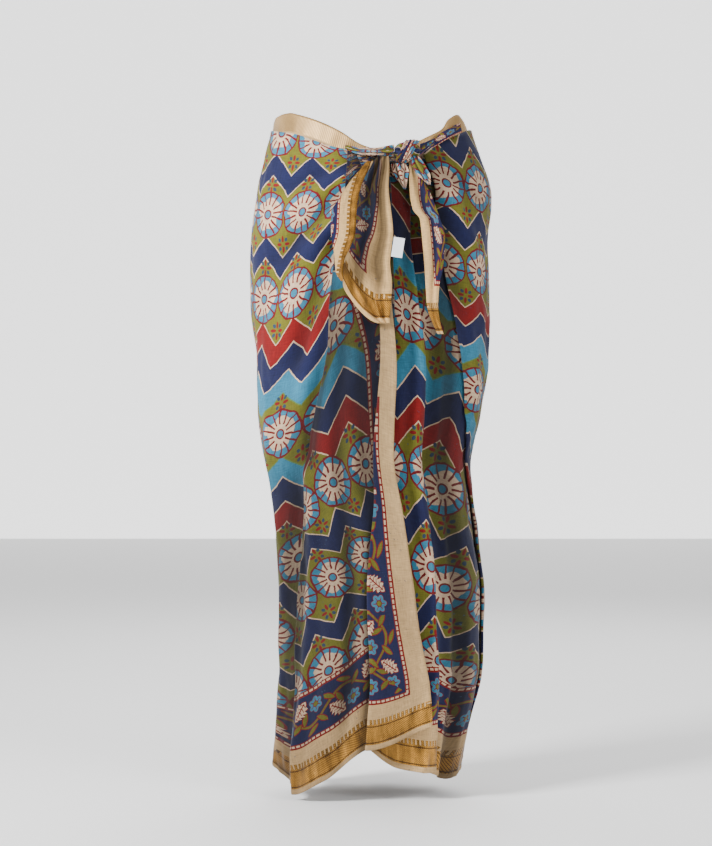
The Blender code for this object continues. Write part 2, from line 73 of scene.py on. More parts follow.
# Lines of the cloth from the inner end, round the back, to the outer front edge: the layer that each
# arrives on and the one it leaves on; then at each level its bearing in degrees and its height, and where
# it lies on the flat cloth: metres along it from the inner cut end, and metres down from its upper edge.
LINES = {
    "inner_end": (
        (1, 1), (-10, -31, -32, -32, -26, -10), (-0.048, -0.076, -0.254, -0.516, -0.712, -0.902),
        (0.020, 0.000, 0.000, 0.000, 0.000, 0.000), (0.155, 0.378, 0.541, 0.748, 0.917, 1.118),
    ),
    "lap_middle": (
        (1, 1), (6, 8, 9, 10, 11, 16), (-0.048, -0.072, -0.246, -0.512, -0.727, -0.943),
        (0.192, 0.218, 0.187, 0.160, 0.161, 0.140), (0.155, 0.374, 0.532, 0.746, 0.922, 1.118),
    ),
    "lap_fold": (
        (1, 0), (13, 16, 22, 30, 28, 41), (-0.046, -0.075, -0.250, -0.515, -0.731, -0.951),
        (0.214, 0.245, 0.233, 0.222, 0.214, 0.205), (0.155, 0.373, 0.529, 0.745, 0.924, 1.118),
    ),
    "lap_fold_back": (
        (0, -1), (10, 8, 11, 15, 16, 31), (-0.046, -0.090, -0.267, -0.520, -0.732, -0.950),
        (0.235, 0.262, 0.311, 0.369, 0.476, 0.590), (0.141, 0.348, 0.547, 0.741, 0.914, 1.118),
    ),
    "valley": (
        (-1, -1), (21, 33, 39, 46, 51, 61), (-0.044, -0.125, -0.304, -0.538, -0.750, -0.966),
        (0.262, 0.322, 0.376, 0.427, 0.520, 0.612), (0.141, 0.352, 0.550, 0.740, 0.903, 1.118),
    ),
    "hip_fold_back": (
        (-1, 0), (32, 62, 86, 108, 115, 120), (-0.038, -0.175, -0.361, -0.572, -0.759, -0.948),
        (0.290, 0.390, 0.453, 0.511, 0.586, 0.660), (0.141, 0.357, 0.554, 0.739, 0.900, 1.118),
    ),
    "hip_fold": (
        (0, 1), (27, 40, 56, 88, 97, 103), (-0.036, -0.208, -0.394, -0.590, -0.769, -0.948),
        (0.785, 0.808, 0.855, 0.900, 0.950, 0.980), (0.214, 0.380, 0.569, 0.735, 0.910, 1.118),
    ),
    "right_side": (
        (1, 1), (80, 90, 103, 116, 120, 124), (-0.003, -0.225, -0.414, -0.600, -0.773, -0.945),
        (0.908, 0.941, 0.955, 0.985, 1.020, 1.050), (0.176, 0.380, 0.559, 0.737, 0.910, 1.118),
    ),
    "right_seam": (
        (0, 0), (134, 134, 135, 136, 138, 140), (-0.014, -0.240, -0.437, -0.625, -0.785, -0.940),
        (1.030, 1.050, 1.070, 1.110, 1.150, 1.170), (0.141, 0.345, 0.551, 0.738, 0.912, 1.118),
    ),
    "back": (
        (0, 0), (185, 185, 185, 185, 185, 185), (-0.032, -0.250, -0.447, -0.635, -0.790, -0.938),
        (1.205, 1.215, 1.245, 1.275, 1.305, 1.315), (0.141, 0.360, 0.551, 0.735, 0.905, 1.118),
    ),
    "left_seam": (
        (0, 0), (248, 248, 248, 248, 248, 248), (-0.010, -0.244, -0.444, -0.632, -0.787, -0.936),
        (1.362, 1.335, 1.427, 1.450, 1.485, 1.494), (0.148, 0.369, 0.551, 0.734, 0.903, 1.118),
    ),
    "left_side": (
        (0, 0), (270, 270, 271, 272, 273, 274), (-0.003, -0.240, -0.442, -0.632, -0.787, -0.935),
        (1.406, 1.384, 1.466, 1.494, 1.537, 1.555), (0.148, 0.372, 0.545, 0.729, 0.898, 1.118),
    ),
    "side_panel": (
        (2.5, 2.5), (312, 312, 306, 294, 286, 286), (-0.014, -0.232, -0.433, -0.628, -0.796, -0.950),
        (1.479, 1.485, 1.518, 1.521, 1.550, 1.566), (0.146, 0.354, 0.536, 0.724, 0.895, 1.118),
    ),
    "front_fold_back": (
        (2.5, 3.5), (354, 368, 364, 342, 317, 320), (-0.044, -0.130, -0.323, -0.575, -0.778, -0.976),
        (1.595, 1.681, 1.659, 1.599, 1.581, 1.566), (0.144, 0.332, 0.511, 0.709, 0.887, 1.118),
    ),
    "front_fold": (
        (3.5, 4.5), (349, 348, 342, 323, 307, 314), (-0.043, -0.105, -0.293, -0.551, -0.770, -0.983),
        (1.911, 1.911, 1.858, 1.754, 1.617, 1.566), (0.141, 0.366, 0.549, 0.728, 0.911, 1.118),
    ),
    "front_panel": (
        (4.5, 4.5), (352, 353, 352, 342, 334, 334), (-0.044, -0.090, -0.266, -0.520, -0.738, -0.960),
        (1.921, 1.932, 1.892, 1.816, 1.690, 1.626), (0.141, 0.367, 0.553, 0.735, 0.921, 1.118),
    ),
    "edge_fold_back": (
        (4.5, 5.5), (361, 366, 370, 368, 356, 359), (-0.045, -0.083, -0.249, -0.494, -0.704, -0.911),
        (1.946, 1.959, 1.941, 1.912, 1.761, 1.706), (0.141, 0.368, 0.557, 0.743, 0.932, 1.118),
    ),
    "edge_fold": (
        (5.5, 6.5), (353, 357, 365, 363.5, 353, 356), (-0.045, -0.081, -0.247, -0.493, -0.701, -0.913),
        (1.908, 1.946, 1.980, 1.959, 1.928, 1.897), (0.220, 0.442, 0.603, 0.761, 0.919, 1.118),
    ),
    "outer_edge": (
        (6.5, 6.5), (357, 361, 369, 372.5, 375.5, 387), (-0.046, -0.080, -0.251, -0.500, -0.695, -0.879),
        (1.931, 1.981, 1.999, 1.999, 1.999, 1.999), (0.220, 0.442, 0.603, 0.761, 0.919, 1.118),
    ),
}
NAMES = list(LINES)

# Soft folds that every layer follows: bearings of the upper and lower end, their heights, depth in mm at
# each end (out is positive) and width across in degrees.
FOLDS = (
    (14, 34, -0.12, -1.10, 2, 9, 9),
    (30, 56, -0.10, -1.10, -3, -9, 9),
    (58, 84, -0.06, -0.52, 3, 4, 15),
    (88, 92, -0.34, -0.70, -3, -3, 18),
    (2, -4, -0.14, -0.62, -5, -3, 7),
    (-8, -36, -0.14, -1.10, 3, 8, 11),
    (-22, -62, -0.20, -0.80, -4, -4, 8),
    (-62, -84, -0.28, -1.10, 2, 6, 10),
    (-96, -104, -0.34, -1.10, -1, -12, 9),
    (-112, -122, -0.30, -1.10, 2, 13, 9),
    (-130, -141, -0.32, -1.10, -1, -14, 9),
    (-150, -160, -0.34, -1.10, 1, 12, 10),
    (-170, -177, -0.36, -1.10, -1, -15, 9),
    (172, 166, -0.30, -1.10, 2, 14, 9),
    (154, 148, -0.34, -1.10, -1, -12, 8),
    (136, 131, -0.32, -1.10, 2, 12, 8),
    (118, 112, -0.36, -1.10, -1, -9, 9),
)
CREASE_DEPTH = 1.8  # how much deeper the finer creases are drawn than their rows say
CREASE_FADE = 0.05  # length over which a crease begins and ends
# Finer creases and drag lines, in the same columns.
CREASES = (
    # drag lines from the knot to the left
    (0, -66, -0.050, -0.122, -3.0, -3.2, 7),
    (-2, -62, -0.062, -0.165, 3.2, 3.0, 6),
    (-4, -54, -0.078, -0.225, -4.6, -3.6, 6),
    (-4, -48, -0.098, -0.285, 4.2, 3.4, 5),
    (-8, -44, -0.140, -0.380, -5.5, -5.0, 5),
    (-12, -40, -0.190, -0.440, 3.6, 4.0, 5),
    # beside the front fold
    (-16, -34, -0.200, -0.520, -6.0, -6.5, 5),
    # and to the right
    (28, 78, -0.050, -0.140, -3.0, -3.0, 6),
    (30, 66, -0.066, -0.220, 3.6, 3.0, 5),
    (30, 56, -0.095, -0.320, -4.2, -3.8, 5),
    (44, 66, -0.180, -0.420, 3.0, 3.2, 5),
    # the lap
    (17, 22, -0.130, -0.700, -2.4, -1.8, 3),
    (24, 30, -0.200, -0.980, 2.2, 2.6, 3),
    (38, 46, -0.260, -1.000, 2.6, 3.2, 4),
    # the front
    (-12, -20, -0.260, -0.900, -2.6, -3.0, 4),
    (-30, -52, -0.480, -1.050, 3.0, 4.4, 4),
    (-6, -14, -0.420, -1.050, 2.0, 3.2, 4),
    # the sides
    (-72, -96, -0.420, -1.050, -2.4, -4.0, 5),
    (-50, -66, -0.140, -0.420, -1.2, -1.0, 5),
    (70, 84, -0.180, -0.520, -1.2, -1.6, 5),
    (96, 104, -0.240, -0.900, 1.6, 2.4, 5),
    # the back
    (-120, -132, -0.160, -1.050, 1.0, 2.2, 4),
    (-140, -150, -0.120, -0.800, -1.0, -2.0, 4),
    (-160, -168, -0.200, -1.050, 1.0, 2.4, 4),
    (178, 174, -0.120, -1.050, 1.0, 2.2, 4),
    (162, 157, -0.160, -0.900, -1.0, -2.2, 4),
    (146, 141, -0.200, -1.050, 1.0, 2.0, 4),
)

# Lines that lie tucked under another layer, and how much painted shade the cloth gets there.
TUCKED_SHADE = {
    "lap_fold_back": 1.0,
    "valley": 0.8,
    "hip_fold_back": 0.9,
    "front_fold_back": 0.8,
    "edge_fold_back": 0.8,
}
TUCK_REACH = 0.22  # how far the painted shade reaches from such a line, as a share of a stretch
DEEP_FOLD = 0.009  # depth at which a fold gets its darkest painted shade
KNOT_BEARING = 19
KNOT_SHADOW = 12  # half the width of the painted shadow below the knot, in degrees
# How much painted shade each zone gets: more where several layers of thin cloth overlap, less (painted
# light) where one lies over the pale inside.
SHADE_ALL = 0.50
SHADE_LEFT_HIP = -0.98
SHADE_RIGHT_HIP = -0.32
SHADE_FRONT = 0.62
SHADE_LOW_LEFT = 0.75
SHADE_BELOW_KNOT = 0.8
SHADE_LEAST, SHADE_MOST = -0.60, 1.35

# The turned-in border at the waist: bearing, upper edge, how far outside the wrapped form it stands.
TURNED_LEFT = (
    (362, -0.041, -0.0056), (354, -0.033, -0.0056), (342, -0.013, -0.0052), (328, 0.003, -0.0040),
    (313, 0.014, -0.0034), (303, 0.0185, -0.0028), (282, 0.015, -0.0024), (268, 0.006, -0.0023),
    (248, -0.006, -0.0026), (196, -0.024, -0.0029),
)
TURNED_RIGHT = (
    (26, -0.029, -0.0062), (34, -0.020, -0.0062), (47, -0.006, -0.0050), (53, 0.008, -0.0040),
    (65, 0.0175, -0.0034), (74, 0.010, -0.0032), (90, -0.004, -0.0032), (130, -0.016, -0.0033),
    (190, -0.024, -0.0030),
)
# The border folded over the right hip: bearing, lower edge, upper edge.
HIP_BAND = (
    (32, -0.039, -0.031), (39, -0.030, -0.017), (46, -0.0215, -0.009), (52, -0.016, -0.0025),
    (60, -0.010, 0.004),
)
HIP_BAND_STAND_OFF = 0.0053
HIP_BAND_START, HIP_BAND_DEPTH = 0.62, 0.048  # its place along the flat cloth and its depth there
HIP_BAND_STRETCH, TURNED_STRETCH = 0.0028, 0.0026  # metres of the flat cloth to a degree
TURNED_HEM = 0.009  # where the turned-in border's upper edge lies on its own flat cloth

KNOT_CENTRE = Vector((0.0544, -0.1147, -0.0468))
KNOT_HALF = (0.0195, 0.0125, 0.0135)
KNOT_BAND_WIDTH = 0.020
KNOT_BAND_LEAN = 0.50
# Gathered cloth: middle, half height and half depth from end to end.
KNOT_LOBE = (
    (0.0432, -0.1130, -0.0646, 0.0100, 0.0060),
    (0.0440, -0.1140, -0.0745, 0.0120, 0.0062),
    (0.0462, -0.1140, -0.0840, 0.0085, 0.0050),
    (0.0495, -0.1130, -0.0945, 0.0040, 0.0030),
    (0.0508, -0.1120, -0.1010, 0.0016, 0.0016),
)
KNOT_PLEAT = (
    (0.0650, -0.1195, -0.0540, 0.0060, 0.0030),
    (0.0705, -0.1205, -0.0670, 0.0090, 0.0038),
    (0.0770, -0.1200, -0.0790, 0.0090, 0.0034),
    (0.0830, -0.1185, -0.0890, 0.0050, 0.0022),
    (0.0862, -0.1172, -0.0950, 0.0016, 0.0012),
)
ROLL_LEFT = (
    (-0.0354, -0.1222, -0.0415, 0.0030, 0.0018),
    (-0.0115, -0.1268, -0.0480, 0.0048, 0.0030),
    (0.0055, -0.1262, -0.0485, 0.0050, 0.0038),
    (0.0210, -0.1215, -0.0470, 0.0062, 0.0050),
    (0.0357, -0.1150, -0.0455, 0.0085, 0.0065),
)
ROLL_RIGHT = (
    (0.0960, -0.0856, -0.0262, 0.0026, 0.0016),
    (0.0890, -0.0940, -0.0320, 0.0042, 0.0026),
    (0.0810, -0.1025, -0.0380, 0.0058, 0.0038),
    (0.0732, -0.1105, -0.0435, 0.0078, 0.0052),
)
# The tails: height, left edge, right edge, depth.
TAIL_LEFT = (
    (-0.0545, 0.0110, 0.0275, -0.1215),
    (-0.0697, 0.0021, 0.0284, -0.1299),
    (-0.1003, -0.0123, 0.0272, -0.1337),
    (-0.1292, -0.0181, 0.0301, -0.1353),
    (-0.1652, -0.0202, 0.0337, -0.1363),
    (-0.1868, -0.0274, 0.0315, -0.1368),
    (-0.2083, -0.0367, 0.0294, -0.1371),
    (-0.2399, -0.0381, 0.0322, -0.1367),
    (-0.2672, -0.0231, 0.0308, -0.1364),
    (-0.2902, -0.0010, 0.0286, -0.1361),
    (-0.2962, 0.0110, 0.0286, -0.1360),
)
TAIL_FLAP = (
    (-0.0621, -0.0036, 0.0051, -0.1268),
    (-0.0942, -0.0295, -0.0052, -0.1308),
    (-0.1189, -0.0454, -0.0109, -0.1328),
    (-0.1377, -0.0554, -0.0123, -0.1333),
    (-0.1650, -0.0554, -0.0138, -0.1341),
    (-0.1952, -0.0511, -0.0224, -0.1349),
    (-0.2240, -0.0483, -0.0281, -0.1349),
    (-0.2355, -0.0410, -0.0295, -0.1348),
)
TAIL_RIGHT = (
    (-0.0618, 0.0572, 0.0662, -0.1147),
    (-0.0699, 0.0573, 0.0699, -0.1150),
    (-0.0877, 0.0575, 0.0775, -0.1155),
    (-0.1095, 0.0585, 0.0891, -0.1155),
    (-0.1314, 0.0629, 0.0977, -0.1150),
    (-0.1444, 0.0728, 0.1021, -0.1150),
    (-0.1718, 0.0760, 0.1093, -0.1145),
    (-0.2151, 0.0796, 0.1065, -0.1140),
    (-0.2383, 0.0811, 0.1013, -0.1135),
    (-0.2716, 0.0833, 0.0992, -0.1130),
    (-0.2933, 0.0906, 0.1022, -0.1125),
    (-0.3107, 0.0986, 0.1072, -0.1120),
)
# The upright folds of each tail: share of the width from the left edge, and how far out in mm.
TAIL_FOLDS = {
    "tail_left": ((0, 0), (0.14, 2.2), (0.36, -2.4), (0.56, 2.6), (0.74, -2.2), (0.90, 2.0), (1, 0)),
    "tail_left_flap": ((0, -0.6), (0.30, 0.9), (0.55, 0.5), (1, -1.2)),
    "tail_right": ((0, 0), (0.22, 2.2), (0.50, -2.4), (0.78, 2.0), (1, -0.5)),
}
LABEL_SIZE = (0.016, 0.0285)
LABEL_CENTRE = (0.0408, -0.1372, -0.1875)
LABEL_TILT = 9  # degrees

# The print. Metres on the flat cloth.
PERIOD = 0.066  # one wheel and one zigzag to the next
PHASE = 0.146  # the first wheel's middle along the cloth
ZIGZAG = 0.030  # how far a zigzag falls from its peak
BORDER = 0.139  # the border's whole depth
LINE_WIDTH = 0.0021  # the bare line left between two bands
# The zigzag bands: where each ends down the cloth at a zigzag's peak, and its colour.
BANDS = (
    (0.177, "olive"), (0.207, "navy"), (0.293, "olive"), (0.323, "navy"), (0.409, "olive"),
    (0.439, "red"), (0.473, "navy"), (0.503, "turquoise"), (0.589, "olive"), (0.619, "turquoise"),
    (0.653, "navy"), (0.683, "red"), (0.769, "olive"), (0.799, "navy"), (0.885, "olive"),
    (0.915, "navy"), (1.118, "olive"),
)
# A wheel's radii from the middle out, and its spokes.
WHEEL_EYE = 0.0049
WHEEL_HUB = 0.0072
WHEEL_PALE = 0.0226
WHEEL_RADIUS = 0.0330
WHEEL_RIM = 0.0026
WHEEL_SPOKES = 14
SPOKE_HALF = 0.00135
FLOWER_ABOVE, FLOWER_BELOW = 0.0425, 0.041  # the small flowers' middles from a row of wheels
# The wheels' middles down the cloth, and where the next row takes over, measured as the bands are.
WHEEL_ROWS = (
    (0.147, 0.192), (0.263, 0.308), (0.379, 0.456), (0.559, 0.636), (0.739, 0.784), (0.855, 0.900),
    (0.971, None),
)
# The row whose wheels sit off the peaks: where it starts and ends, and by what share of a period.
WHEEL_SHIFT_ROW = (0.636, 0.784, 0.26)
# The border's lines: how far in from the cloth's edge each starts, and its colour.
BORDER_LINES = (
    (0.063, "red"), (0.0655, "pale"), (0.0685, "red"), (0.070, "navy"), (0.132, "red"), (0.1345, "pale"),
    (0.1375, "red"),
)
CUT_END_MARGIN = 0.033  # how much nearer to a cut end the same lines lie
BEAD_ROWS, BEAD_HALF, BEAD_STEP = (0.067, 0.136), 0.0017, 0.0072
VINE_FROM, VINE_MIDDLE, VINE_TO, VINE_WAVE = 0.0705, 0.101, 0.1315, 0.110
# The vine's leaves: middle along and across, half length, half width, turn, colour, toothed or not.
VINE_LEAVES = (
    (-0.0215, 0.0120, 0.0100, 0.0030, 2.5, "olive", False),
    (0.0030, 0.0225, 0.0105, 0.0028, -0.5, "olive", False),
    (0.0205, 0.0130, 0.0100, 0.0030, 0.7, "olive", False),
    (-0.0075, 0.0020, 0.0095, 0.0028, -1.2, "olive", False),
    (-0.0120, -0.0120, 0.0150, 0.0092, -0.85, "pale", True),
)
STEM_SWING, STEM_HALF, STEM_OUTLINE = 0.015, 0.0015, 0.0026
# The vine's flower: its middle, then the radii of its eye and petals, how far these swell, its outline.
VINE_FLOWER = (0.0125, -0.0125)
BLOOM_EYE, BLOOM_HUB, BLOOM_PETALS, BLOOM_SWELL, BLOOM_OUTLINE = 0.0032, 0.0044, 0.0078, 0.0036, 0.0011
GOLD_FROM, GOLD_TO = 0.0075, 0.0355
GOLD_RIBS, RIB_HALF = (0.0100, 0.0325), 0.0009
TEETH_FROM, TEETH_TO, TOOTH_STEP = 0.0350, 0.0425, 0.0062
INKS = {
    "navy": (0.0085, 0.0110, 0.050),
    "red": (0.175, 0.0050, 0.0050),
    "turquoise": (0.030, 0.165, 0.262),
    "olive": (0.122, 0.118, 0.0105),
    "pale": (0.54, 0.385, 0.255),
    "cream": (0.52, 0.335, 0.155),
    "dark_red": (0.125, 0.005, 0.007),
    "slate": (0.020, 0.040, 0.072),
    "gold": (0.55, 0.262, 0.041),
    "gold_dark": (0.11, 0.050, 0.011),
    "leaf_green": (0.085, 0.17, 0.045),
}


# Shapes

def smooth(xs, ys, x):
    """The value at x of a curve through the points (xs, ys) that never overshoots them."""
    xs = np.asarray(xs, float)
    ys = np.asarray(ys, float)
    if xs[0] > xs[-1]:
        xs = xs[::-1]
        ys = ys[::-1]
    step = np.diff(xs)
    rise = np.diff(ys) / step
    slope = np.zeros(len(xs))
    slope[0] = rise[0]
    slope[-1] = rise[-1]
    same_way = rise[:-1] * rise[1:] > 0
    total = np.where(same_way, rise[:-1] + rise[1:], 1.0)
    slope[1:-1] = np.where(same_way, 2 * rise[:-1] * rise[1:] / total, 0.0)
    x = np.clip(x, xs[0], xs[-1])
    i = np.clip(np.searchsorted(xs, x, side="right") - 1, 0, len(step) - 1)
    t = (x - xs[i]) / step[i]
    ease = t * t * (3 - 2 * t)
    bend = slope[i] * t * (1 - t) ** 2 - slope[i + 1] * (1 - t) * t**2
    return ys[i] * (1 - ease) + ys[i + 1] * ease + step[i] * bend


def column(rows, k):
    return [row[k] for row in rows]


def folds_out(folds, fade_length, bearing, z):
    """How far a list of folds moves the cloth out at bearings and heights."""
    total = np.zeros(np.broadcast(bearing, z).shape)
    for top, low, z_top, z_low, out_top, out_low, width in folds:
        along = (z_top - z) / (z_top - z_low)
        off = (bearing - (top + (low - top) * along) + 180) % 360 - 180
        depth = out_top + (out_low - out_top) * along
        fade = np.clip((z_top - z) / fade_length, 0, 1) * np.clip((z - z_low) / fade_length, 0, 1)
        total += depth * fade * fade * (3 - 2 * fade) * np.exp(-((off / width) ** 2))
    return total / 1000


def crumple(bearing, z):
    """Small soft wrinkles, the same for every layer."""
    turn = np.radians(bearing)
    a = np.sin(17 * turn + 21 * z + 1.5 * np.sin(31 * z)) * np.sin(9 * turn - 34 * z)
    b = np.sin(41 * turn + 12 * z + 2.0 * np.sin(57 * z + 3 * turn))
    c = np.sin(63 * z + 7 * turn + 2.0 * np.sin(8 * turn)) * np.sin(23 * turn)
    return (0.80 * a + 0.50 * b + 0.60 * c) / 1000


def form_folds(bearing, z):
    """How far all folds and creases move the cloth out."""
    soft = folds_out(FOLDS, FOLD_FADE, bearing, z)
    return soft + CREASE_DEPTH * folds_out(CREASES, CREASE_FADE, bearing, z)


def on_body(bearing, z, stand_off):
    """Points at bearings and heights, stand_off outside the wrapped form."""
    left, right, front, back = (smooth(column(BODY, 0), column(BODY, k), z) for k in (1, 2, 3, 4))
    turn = np.radians(bearing)
    # The waist edge is held smooth, so the wrinkles begin below it.
    out = stand_off + form_folds(bearing, z) + crumple(bearing, z) * np.clip(-z / 0.06, 0.2, 1)
    half_width = (right - left) / 2
    depth = np.where(np.cos(turn) > 0, -front, back)
    x = (left + right) / 2 + (half_width + out) * np.sin(turn)
    y = -(depth + out) * np.cos(turn)
    return np.stack([x, y, z + np.zeros_like(x)], -1)


def wrap_columns(first, last, per_stretch):
    """The columns between two named lines: line number, share of the way on, share of a fold's turn."""
    start, end = NAMES.index(first), NAMES.index(last)
    columns = []
    for k in range(start, end + 1):
        arriving, leaving = LINES[NAMES[k]][0]
        turns = (0.0, 0.25, 0.5, 0.75, 1.0) if arriving != leaving else (1.0,)
        columns += [(k, 0.0, turn) for turn in turns]
        if k < end:
            columns += [(k, cut / per_stretch, 1.0) for cut in range(1, per_stretch)]
    return columns


def wrap_rows():
    """Heights along the cloth of the rows, close together at the rolled hem."""
    hem = [0.0, 0.0015, 0.0035, 0.0055, 0.0072, 0.0088]
    return hem + list(np.linspace(0.012, CLOTH_HEIGHT, 158))


def ramp(value):
    """The value, held between 0 and 1."""
    return np.clip(value, 0, 1)


def fold_shade(bearing, z, place):
    """Painted shade at places counted in stretches: 1 deep in a fold, below 0 on a ridge, where it is
    painted light.
    """
    # Each zone fades in over some stretches along the wrap and some metres of height.
    at = NAMES.index
    painted_shade = np.clip(-form_folds(bearing, z) / DEEP_FOLD, -0.5, 1.0)
    for name, weight in TUCKED_SHADE.items():
        painted_shade = painted_shade + weight * np.exp(-(((place - at(name)) / TUCK_REACH) ** 2))
    off_knot = ((bearing - KNOT_BEARING + 180) % 360 - 180) / KNOT_SHADOW
    below_knot = np.exp(-(off_knot**2)) * ramp((z + 0.26) / 0.16)
    left_hip = ramp((place - at("left_seam")) / 0.8) * ramp((at("front_fold_back") - place) / 0.35)
    left_hip = left_hip * ramp((z + 0.52) / 0.20)
    right_hip = ramp(1 - np.abs(place - at("right_side")) / 1.2) * ramp((z + 0.36) / 0.16)
    inside_edge = ramp((at("edge_fold_back") + 0.5 - place) / 0.5)
    front = ramp((place - at("front_fold") + 0.3) / 0.3) * inside_edge
    low_left = ramp((place - at("left_side")) / 0.8) * ramp((-0.50 - z) / 0.10) * inside_edge
    zones = SHADE_ALL + SHADE_LEFT_HIP * left_hip + SHADE_RIGHT_HIP * right_hip
    zones = zones + np.maximum(SHADE_FRONT * front, SHADE_LOW_LEFT * low_left)
    return np.clip(painted_shade + SHADE_BELOW_KNOT * below_knot + zones, SHADE_LEAST, SHADE_MOST)


def at_level(level):
    """The lines' bearings, heights and places along and down the flat cloth, at a level."""
    lines = LINES.values()
    return [np.array([float(smooth(LEVELS, line[k], level)) for line in lines]) for k in (1, 2, 3, 4)]


def wrap_grid(columns):
    """Points, flat-cloth coordinates and painted shade values of the wrap for those columns."""
    k = np.array([c[0] for c in columns])
    share = np.array([c[1] for c in columns])
    turn = np.array([c[2] for c in columns])
    arriving, leaving = np.array([line[0] for line in LINES.values()], float).T
    nxt = np.minimum(k + 1, len(NAMES) - 1)
    at_line = share == 0.0
    ease = share * share * (3 - 2 * share)
    turning = arriving[k] + (leaving[k] - arriving[k]) * turn
    between = leaving[k] + (arriving[nxt] - leaving[k]) * ease
    layer = np.where(at_line, turning, between)
    points, flat, painted_shade = [], [], []
    for level in wrap_rows():
        bearings, heights, along, down = at_level(level)
        travel = np.concatenate(([0.0], np.cumsum(np.abs(np.diff(bearings)) + 0.5)))
        way = np.where(bearings[k] > bearings[np.maximum(k - 1, 0)], 1, -1)
        bulge = np.where(at_line, FOLD_TURN * np.sin(math.pi * turn) * way, 0.0)
        bearing = bearings[k] + (bearings[nxt] - bearings[k]) * share + bulge
        z_between = smooth(travel, heights, travel[k] + (travel[nxt] - travel[k]) * share)
        z = np.where(at_line, heights[k], z_between)
        points.append(on_body(bearing, z, layer * PITCH))
        painted_shade.append(fold_shade(bearing, z, k + share))
        u = along[k] + (along[nxt] - along[k]) * share
        v = down[k] + (down[nxt] - down[k]) * share
        flat.append(np.stack([u, v], -1))
    return np.array(points), np.array(flat), np.array(painted_shade)


def cut_square(points, at_start, at_end):
    """Pulls the cut columns back by half a seam gap."""
    for cut, edge, inner in ((at_start, 0, 1), (at_end, -1, -2)):
        if cut:
            way = points[:, inner] - points[:, edge]
            points[:, edge] += way / np.linalg.norm(way, axis=1)[:, None] * SEAM_GAP / 2
    return points


def normals_of(points):
    """Unit normals of a grid of points."""
    across = np.gradient(points, axis=1)
    up = np.gradient(points, axis=0)
    normal = np.cross(across, up)
    return normal / np.maximum(np.linalg.norm(normal, axis=2), 1e-12)[..., None]


def placed(name, mesh, material, painted_shade=None):
    """The object of a mesh, with its material, its painted shade values and its place on the frame."""
    # The painted shade of each point is kept as a mesh attribute, which the cloth material reads.
    if painted_shade is not None:
        values = painted_shade.ravel().astype(np.float32)
        mesh.attributes.new("painted_shade", "FLOAT", "POINT").data.foreach_set("value", values)
    mesh.shade_smooth()
    mesh.materials.append(material)
    obj = bpy.data.objects.new(name, mesh)
    bpy.context.scene.collection.objects.link(obj)
    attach(obj, "root")
    return obj


def shell(name, points, flat, material, thickness=SHELL, painted_shade=None):
    """A closed thin shell on a grid of points, with the flat-cloth coordinates as its UV map."""
    rows, cols = points.shape[:2]
    half = np.broadcast_to(np.asarray(thickness, float), (rows, cols))[..., None] / 2
    normal = normals_of(points)
    verts = np.concatenate([points + normal * half, points - normal * half]).reshape(-1, 3)
    uv = np.concatenate([flat.reshape(-1, 2)] * 2)
    index = np.arange(rows * cols).reshape(rows, cols)
    corners = (index[:-1, :-1], index[:-1, 1:], index[1:, 1:], index[1:, :-1])
    outside = np.stack([corner.ravel() for corner in corners], 1)
    n = rows * cols
    faces = [outside, outside[:, ::-1] + n]
    for line in (index[0], index[-1][::-1], index[:, 0][::-1], index[:, -1]):
        faces.append(np.stack([line[1:], line[:-1], line[:-1] + n, line[1:] + n], 1))
    faces = np.concatenate(faces)
    mesh = bpy.data.meshes.new(name)
    mesh.from_pydata(verts.tolist(), [], faces.tolist())
    layer = mesh.uv_layers.new(name="ClothUV")
    loops = np.zeros(len(mesh.loops), int)
    mesh.loops.foreach_get("vertex_index", loops)
    layer.data.foreach_set("uv", uv[loops].ravel().astype(np.float32))
    both_sides = None if painted_shade is None else np.stack([painted_shade, painted_shade])
    return placed(name, mesh, material, both_sides)


def rolled_edge(distance, width=0.0075, thick=ROLLED):
    """Thickness of the cloth at a distance from a hem that is rolled."""
    share = ramp(distance / width)
    round_share = np.sqrt(np.clip(1 - (2 * share - 1) ** 2, 0.05, 1))
    return np.where(share < 1, SHELL + (thick - SHELL) * round_share, SHELL)


def mean_length(points, axis):
    """The mean length of a grid of points along an axis."""
    return float(np.linalg.norm(np.diff(points, axis=axis), axis=2).sum(axis=axis).mean())


def wrap_piece(name, first, last, per_stretch, material, nodes):
    """A stretch of the wrap between two named lines, and its mean length."""
    points, flat, painted_shade = wrap_grid(wrap_columns(first, last, per_stretch))
    points = cut_square(points, first != "inner_end", last != "outer_edge")
    from_hem = np.array(wrap_rows())[:, None]
    from_end = np.minimum(CLOTH_LENGTH - flat[..., 0], flat[..., 0])
    thickness = np.maximum(rolled_edge(from_hem), rolled_edge(from_end))
    obj = shell(name, points, flat, material, thickness, painted_shade)
    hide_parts(*nodes)
    return obj, mean_length(points, 1)


# Materials

def operation(name):
    """A method of Term that puts in one math node."""
    def method(self, *others):
        return self.op(name, *others)
    return method


class Term:
    """A number inside a material, so that the print can be written as arithmetic."""

    def __init__(self, tree, value):
        self.tree = tree
        self.value = value

    def op(self, name, *others):
        node = self.tree.nodes.new("ShaderNodeMath")
        node.operation = name
        for socket, item in zip(node.inputs, (self, *others)):
            item = item.value if isinstance(item, Term) else item
            if isinstance(item, (int, float)):
                socket.default_value = float(item)
            else:
                self.tree.links.new(item, socket)
        return Term(self.tree, node.outputs[0])

    def rest(self):
        """One minus it."""
        return Term(self.tree, 1.0).op("SUBTRACT", self)

    __add__ = operation("ADD")
    __sub__ = operation("SUBTRACT")
    __mul__ = operation("MULTIPLY")
    __truediv__ = operation("DIVIDE")
    __lt__ = operation("LESS_THAN")
    __gt__ = operation("GREATER_THAN")
    __and__ = operation("MULTIPLY")
    __or__ = operation("MAXIMUM")
    low = operation("MINIMUM")
    high = operation("MAXIMUM")
    abs = operation("ABSOLUTE")
    floor = operation("FLOOR")
    fract = operation("FRACT")
    sin = operation("SINE")
    sqrt = operation("SQRT")
    angle_to = operation("ARCTAN2")


